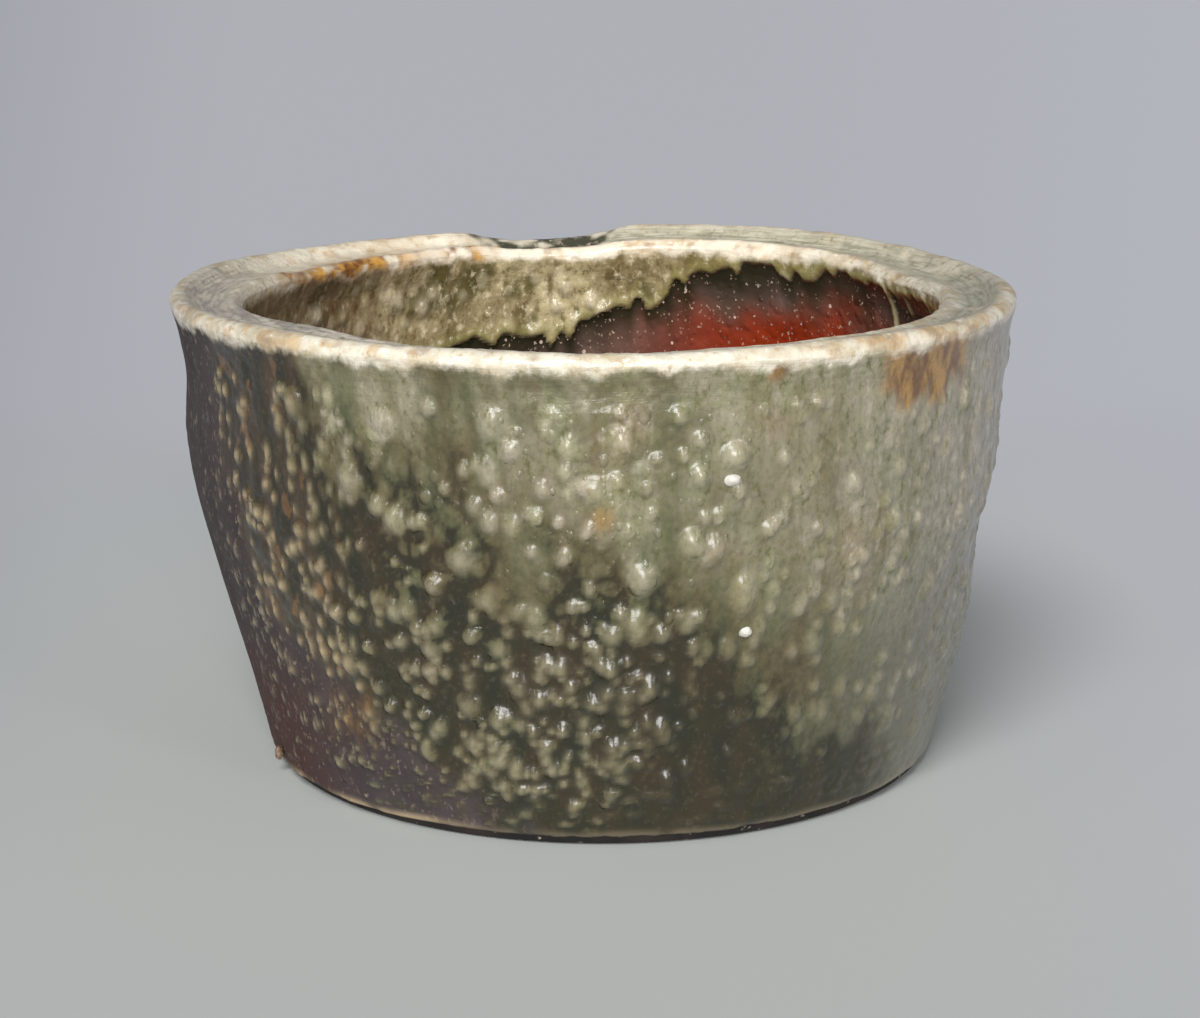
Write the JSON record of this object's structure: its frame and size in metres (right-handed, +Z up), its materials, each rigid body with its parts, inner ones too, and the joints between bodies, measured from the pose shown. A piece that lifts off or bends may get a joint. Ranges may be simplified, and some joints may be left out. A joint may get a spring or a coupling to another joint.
{
  "type": "waste water bowl",
  "caption": "Wood-fired stoneware waste water bowl with a flat slab foot, flaring wall and an inturned, dished rim under natural ash glaze.",
  "frame": {"origin": "centre of the flat foot, on the surface the bowl stands on", "axes": "+Z up out of the mouth; -Y is the side that the picture shows; +X is to its right"},
  "size_m": [0.1605, 0.1605, 0.0917],
  "materials": {
    "bare_clay": "unglazed iron-brown stoneware, matte",
    "scorched_clay": "scorched purple-brown stoneware, semi-matte",
    "cream_ash_glaze": "cream ash glaze with orange and grey-green spots, satin",
    "olive_ash_glaze": "olive natural ash glaze with pale beads and runs, glossy",
    "amber_ash_glaze": "amber-olive natural ash glaze ending in runs, glossy",
    "feldspar": "white melted feldspar grain, satin",
    "kiln_grit": "rough sintered kiln grit, matte"
  },
  "bodies": {
    "root": {"base_slab": "bare_clay", "wall": "scorched_clay", "rim": "cream_ash_glaze", "ash_glaze_outside": "olive_ash_glaze", "ash_glaze_inside": "amber_ash_glaze", "feldspar_stone_upper": "feldspar", "feldspar_stone_lower": "feldspar", "kiln_grit_left": "kiln_grit", "kiln_grit_right": "kiln_grit"}
  },
  "joints": []
}
